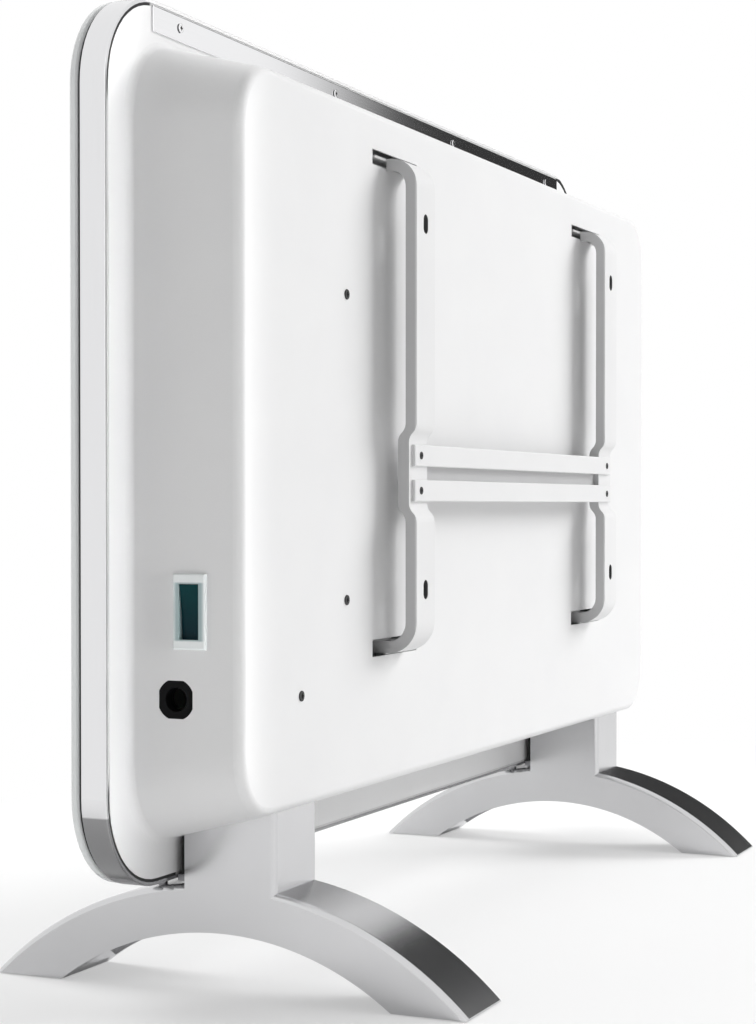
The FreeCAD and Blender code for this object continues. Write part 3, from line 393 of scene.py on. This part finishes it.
# Stem strips: dark strips on the stems' fronts, painted shade for the shaded gap between stem and frame.
# Each is a thin block with rounded front edges, and its top follows the cover's slope.
STEM_STRIP_THICKNESS = 0.0016
STEM_STRIP_INSET = 0.0004
STEM_STRIP_TOP = 0.0678
STEM_STRIP_SLOPE = 0.26
STEM_STRIP_ROUND = 0.0005
ROUND_SEGMENTS = 3
CREASE_ANGLE = math.radians(40.0)
NEARLY = 0.0001
foot_low, foot_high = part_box("right_foot")
foot_x = (foot_low.x + foot_high.x) / 2
clip_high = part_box("foot_clips")[1]
stem_front = clip_high.y
stem_strip_width = foot_high.x - foot_low.x - 2 * STEM_STRIP_INSET
stem_strip_height = STEM_STRIP_TOP - clip_high.z - STEM_STRIP_INSET
stem_strip_middle = (foot_x, stem_front - STEM_STRIP_THICKNESS / 2, STEM_STRIP_TOP - stem_strip_height / 2)
bpy.ops.mesh.primitive_cube_add(size=1.0, location=stem_strip_middle)
stem_shade_strip = bpy.context.object
stem_shade_strip.name = "stem_shade_strip_right"
stem_shade_strip.scale = (stem_strip_width, STEM_STRIP_THICKNESS, stem_strip_height)
bpy.ops.object.transform_apply(location=True, rotation=True, scale=True)


def pick_edges(piece, wanted):
    """In edit mode, selects only those edges of a piece of which both ends are wanted."""
    bpy.ops.mesh.select_mode(type="EDGE")
    bpy.ops.mesh.select_all(action="DESELECT")
    bpy.ops.object.mode_set(mode="OBJECT")
    for edge in piece.data.edges:
        edge.select = all(wanted(piece.data.vertices[end].co) for end in edge.vertices)
    bpy.ops.object.mode_set(mode="EDIT")


bpy.ops.object.mode_set(mode="EDIT")
pick_edges(stem_shade_strip, lambda end: end.z > STEM_STRIP_TOP - NEARLY and end.y < stem_front - NEARLY)
bpy.ops.transform.translate(value=(0.0, 0.0, -STEM_STRIP_SLOPE * STEM_STRIP_THICKNESS))
pick_edges(stem_shade_strip, lambda end: end.y < stem_front - NEARLY)
bpy.ops.mesh.bevel(offset=STEM_STRIP_ROUND, segments=ROUND_SEGMENTS, affect="EDGES")
bpy.ops.mesh.select_all(action="SELECT")
bpy.ops.mesh.normals_make_consistent(inside=False)
bpy.ops.object.mode_set(mode="OBJECT")
bpy.ops.object.shade_smooth_by_angle(angle=CREASE_ANGLE)
# Their near-black colour is painted shade, with a faint grain.
stem_shade_paint, place = finish("stem_shade_paint", specular_ior_level=0.2)
strip_grain = place.grain(1100.0, detail=3.0)
wear(stem_shade_paint, base_color=strip_grain.blend(BLACK_RUBBER_AND_SHADE, DUSTY_RUBBER_AND_SHADE), roughness=strip_grain.span(0.6, 0.8),
     normal=strip_grain.bumps(0.00003))
stem_shade_strip.data.materials.append(stem_shade_paint)
bpy.ops.object.duplicate(linked=False)
other_strip = bpy.context.object
other_strip.name = "stem_shade_strip_left"
other_strip.location.x = -2 * foot_x
bpy.ops.object.transform_apply(location=True, rotation=True, scale=True)
for piece in (stem_shade_strip, other_strip):
    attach(piece, "heater")
bpy.ops.object.select_all(action="DESELECT")


# Wall bracket's bars: two flat steel bars, powder coated white and screwed across the uprights.
# A tie is welded behind them and closes the gap between them; its grey is painted shade for the recess.
BRACKET_WHITE = (0.80, 0.80, 0.80, 1.0)
BRACKET_TONE = (0.76, 0.76, 0.765, 1.0)
TIE_PAINTED_SHADE = (0.66, 0.66, 0.665, 1.0)
TIE_PAINTED_SHADE_DEEP = (0.60, 0.60, 0.605, 1.0)
rail_coat, *_ = powder_coat("bracket_coat", BRACKET_WHITE, BRACKET_TONE)
dress(rail_coat, "bracket_upper_rail", "bracket_lower_rail")
# Painted shade: the tie is grey instead of white.
tie_shade_coat, *_ = powder_coat("tie_shade_coat", TIE_PAINTED_SHADE, TIE_PAINTED_SHADE_DEEP)
dress(tie_shade_coat, "bracket_tie")


# Uprights: pressed steel channels that hook into slots of the cover, sprayed white after pressing.
# Painted shade makes their outer sides grey, and near black inside the channels along two runs.
# The slots for the wall screws are punched through, and their walls carry the same near-black painted
# shade.
CHANNEL_PAINTED_SHADE = (0.05, 0.05, 0.052, 1.0)
SIDE_PAINTED_SHADE = (0.58, 0.58, 0.585, 1.0)
UPRIGHT_SHEET = 0.0012
CHANNEL_HALF = 0.0099
OUTER_SIDE = 0.0108
EDGE_ROUND = 0.0004
COAT_FADE = 0.0002
FACE_SKIN = 0.0001
SHADED_RUNS = ((0.155, 0.198), (0.250, 0.355))
SHADED_RUN_FADE = 0.004
SLOT_HEIGHTS = (0.1705, 0.341)
SLOT_HALF_WIDTH = 0.0035
SLOT_HALF_LENGTH = 0.008
right_low, right_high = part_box("bracket_upright_right")
bracket_middle = (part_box("bracket_upright_left")[0].x + right_high.x) / 2
upright_reach = (right_low.x + right_high.x) / 2 - bracket_middle
upright_rear = right_high.y
channel_floor = upright_rear - UPRIGHT_SHEET
upright_coat, place, colour = powder_coat("upright_coat", BRACKET_WHITE, BRACKET_TONE)
off_centre = abs(abs(place.axis("X") - bracket_middle) - upright_reach)
depth = place.axis("Y")
height = place.axis("Z")
# Near-black painted shade inside the channels and on the slot walls, and grey painted shade on the outer
# sides.
inside = 1.0 - off_centre.rise(CHANNEL_HALF, CHANNEL_HALF + COAT_FADE)
below_sheet = 1.0 - depth.rise(channel_floor, channel_floor + COAT_FADE)
lower_run, upper_run = [height.rise(low, low + SHADED_RUN_FADE) - height.rise(high - SHADED_RUN_FADE, high)
                        for low, high in SHADED_RUNS]
channel_shade = inside * below_sheet * (lower_run + upper_run)
lower_slot, upper_slot = [1.0 - abs(height - middle).rise(SLOT_HALF_LENGTH, SLOT_HALF_LENGTH + COAT_FADE)
                          for middle in SLOT_HEIGHTS]
slot_width = 1.0 - off_centre.rise(SLOT_HALF_WIDTH, SLOT_HALF_WIDTH + COAT_FADE)
under_face = 1.0 - depth.rise(upright_rear - FACE_SKIN - COAT_FADE, upright_rear - FACE_SKIN)
slot_wall_shade = (lower_slot + upper_slot) * slot_width * under_face
before_round = 1.0 - depth.rise(channel_floor, upright_rear - EDGE_ROUND)
side_shade = off_centre.rise(OUTER_SIDE, OUTER_SIDE + COAT_FADE) * before_round
painted_shade = (channel_shade + slot_wall_shade).rise(0.0, 1.0)
wear(upright_coat, base_color=painted_shade.blend(side_shade.blend(colour, SIDE_PAINTED_SHADE), CHANNEL_PAINTED_SHADE))
dress(upright_coat, "bracket_upright_right", "bracket_upright_left")


# Studio floor: a plain white sheet that runs out into a white background.
# It keeps the soft shadow of the heater.
WHITE = (1.0, 1.0, 1.0, 1.0)
FLOOR_SIZE = 30.0
FLOOR_WHITE = (0.88, 0.88, 0.88, 1.0)
FLOOR_GLOW = 0.4
SHADOW_FULL = 0.3
SHADOW_END = 0.8
SHADOW_DRAWN_IN = (1.0, 1.8, 1.0)


def ray_kinds(shade):
    """Whether a ray comes from the camera, from a shiny surface or through a clear one."""
    rays = shade.node("LightPath", {}, {}).socket.node.outputs
    kinds = ("Is Camera Ray", "Is Glossy Ray", "Is Transmission Ray")
    return [Shade(shade.tree, rays[kind]) for kind in kinds]


def overlay(material, share, other):
    """Shows another shader in the place of a finish where share is 1."""
    tree = material.node_tree
    surface = Shade(tree, tree.nodes["Principled BSDF"].outputs[0])
    mixed = share.node("MixShader", {}, {0: share, 1: surface, 2: other})
    tree.links.new(mixed.socket, tree.nodes["Material Output"].inputs["Surface"])


bpy.ops.mesh.primitive_plane_add(size=FLOOR_SIZE)
floor = bpy.context.object
floor.name = "studio_floor"
ground, place = finish("floor_white", base_color=FLOOR_WHITE, roughness=0.9, specular_ior_level=0.1)
drawn_in = place.node("Mapping", {}, {"Vector": place, "Scale": SHADOW_DRAWN_IN})
away = place.node("VectorMath", {"operation": "LENGTH"}, {0: drawn_in}, 1).rise(SHADOW_FULL, SHADOW_END)
seen, shiny, through = ray_kinds(place)
white_light = place.node("Emission", {}, {"Color": WHITE, "Strength": 1.0})
overlay(ground, away.span(FLOOR_GLOW, 1.0) * (seen + through) + away * shiny, white_light)
floor.data.materials.append(ground)


# Studio light: a soft even room, and one large soft lamp high behind the far end. Weaker ones stand
# overhead, in front and off the near end, and a narrow one grazes the near end of the panel.
AMBIENT = 0.2
AIM = (0.0, 0.0, 0.2)
world = bpy.data.worlds.new("studio")
bpy.context.scene.world = world
world.use_nodes = True
background = world.node_tree.nodes["Background"]
room = Shade(world.node_tree, background.outputs[0])
seen, shiny, through = ray_kinds(room)
shown = (seen + shiny + through).rise(0.0, 1.0)
background.inputs["Color"].default_value = WHITE
world.node_tree.links.new(shown.span(AMBIENT, 1.0).socket, background.inputs["Strength"])


def lamp(name, stand, size, power, aim=AIM, spread=math.pi):
    """A soft lamp of this width and height, turned to the heater from where it stands."""
    bpy.ops.object.light_add(type="AREA", location=stand)
    made = bpy.context.object
    made.name = name
    made.data.shape = "RECTANGLE"
    made.data.size, made.data.size_y = size
    made.data.energy = power
    made.data.spread = spread
    made.rotation_euler = (Vector(aim) - Vector(stand)).to_track_quat("-Z", "Y").to_euler()
    made.visible_glossy = False


lamp("key_lamp", stand=(-3.6, 2.45, 2.4), size=(2.8, 2.4), power=276.0)
lamp("top_lamp", stand=(-0.2, 0.05, 2.0), size=(1.2, 1.2), power=9.0)
lamp("front_lamp", stand=(-0.3, -1.2, 1.8), size=(1.4, 1.4), power=20.0)
lamp("end_lamp", stand=(1.5, -1.2, 0.6), size=(1.6, 1.2), power=3.6)
lamp("low_lamp", stand=(1.2, -1.9, 0.6), size=(1.8, 1.2), power=7.0)
lamp("rim_lamp", stand=(0.40, 0.90, 0.26), size=(0.04, 0.42), power=0.08, aim=(0.315, -0.021, 0.24),
     spread=math.radians(8.0))


# Cards: a dark one off the far end and a bright one beside the camera, both out of view.
# They show only in reflections, and the dark one fades out towards the back and is grey low down.
CARD_BLACK = (0.0, 0.0, 0.0, 1.0)
CARD_DARK = (0.04, 0.04, 0.04, 1.0)
CARD_GREY = (0.45, 0.45, 0.45, 1.0)
GREY_TOP = 0.1
DARK_BOTTOM = 0.3
DARK_EDGE = 0.64
CLEAR_EDGE = 0.87


def card(name, stand, turn, size, **light):
    """The paint of a card that only reflections show, and its object coordinates."""
    bpy.ops.mesh.primitive_plane_add(size=1.0, location=stand, rotation=turn)
    made = bpy.context.object
    made.name = name
    made.scale = (*size, 1.0)
    bpy.ops.object.transform_apply(location=True, rotation=True, scale=True)
    made.visible_camera = False
    made.visible_diffuse = False
    made.visible_shadow = False
    made.visible_transmission = False
    paint, place = finish(name, base_color=CARD_BLACK, roughness=1.0, specular_ior_level=0.0, **light)
    made.data.materials.append(paint)
    return paint, place


dark, place = card("dark_card", stand=(-1.6, 0.0, 1.05), turn=(0.0, math.pi / 2, 0.0), size=(2.1, 2.4),
                   emission_strength=1.0)
wear(dark, emission_color=place.axis("Z").rise(GREY_TOP, DARK_BOTTOM).blend(CARD_GREY, CARD_DARK))
overlay(dark, place.axis("Y").rise(DARK_EDGE, CLEAR_EDGE), place.node("BsdfTransparent", {}, {}))
card("bright_card", stand=(1.1, 1.6, 0.8), turn=(math.radians(80.0), 0.0, math.radians(-35.0)),
     size=(0.9, 1.6), emission_color=WHITE, emission_strength=1.6)


# Camera: at the height of the switch, off the end of the cover, looking slightly down.
# Its lens is shifted, so that its axis meets the picture a little below the middle.
CAMERA_PLACE = Vector((1.0311, 0.4243, 0.2098))
HEADING = math.radians(23.888)
DIP = math.radians(0.896)
SENSOR_WIDTH = 36.0
FOCAL_PIXELS = 2103.4
IMAGE_HEIGHT = 1024
AXIS_ROW = 538.4
camera = bpy.data.objects.new("camera", bpy.data.cameras.new("camera"))
bpy.context.scene.collection.objects.link(camera)
bpy.context.scene.camera = camera
camera.location = CAMERA_PLACE
ahead = Vector((-math.cos(HEADING) * math.cos(DIP), -math.sin(HEADING) * math.cos(DIP), -math.sin(DIP)))
camera.rotation_euler = ahead.to_track_quat("-Z", "Y").to_euler()
camera.data.sensor_width = SENSOR_WIDTH
camera.data.lens = FOCAL_PIXELS * SENSOR_WIDTH / IMAGE_HEIGHT
camera.data.shift_y = (AXIS_ROW - IMAGE_HEIGHT / 2) / IMAGE_HEIGHT
bpy.context.scene.view_settings.view_transform = "Standard"
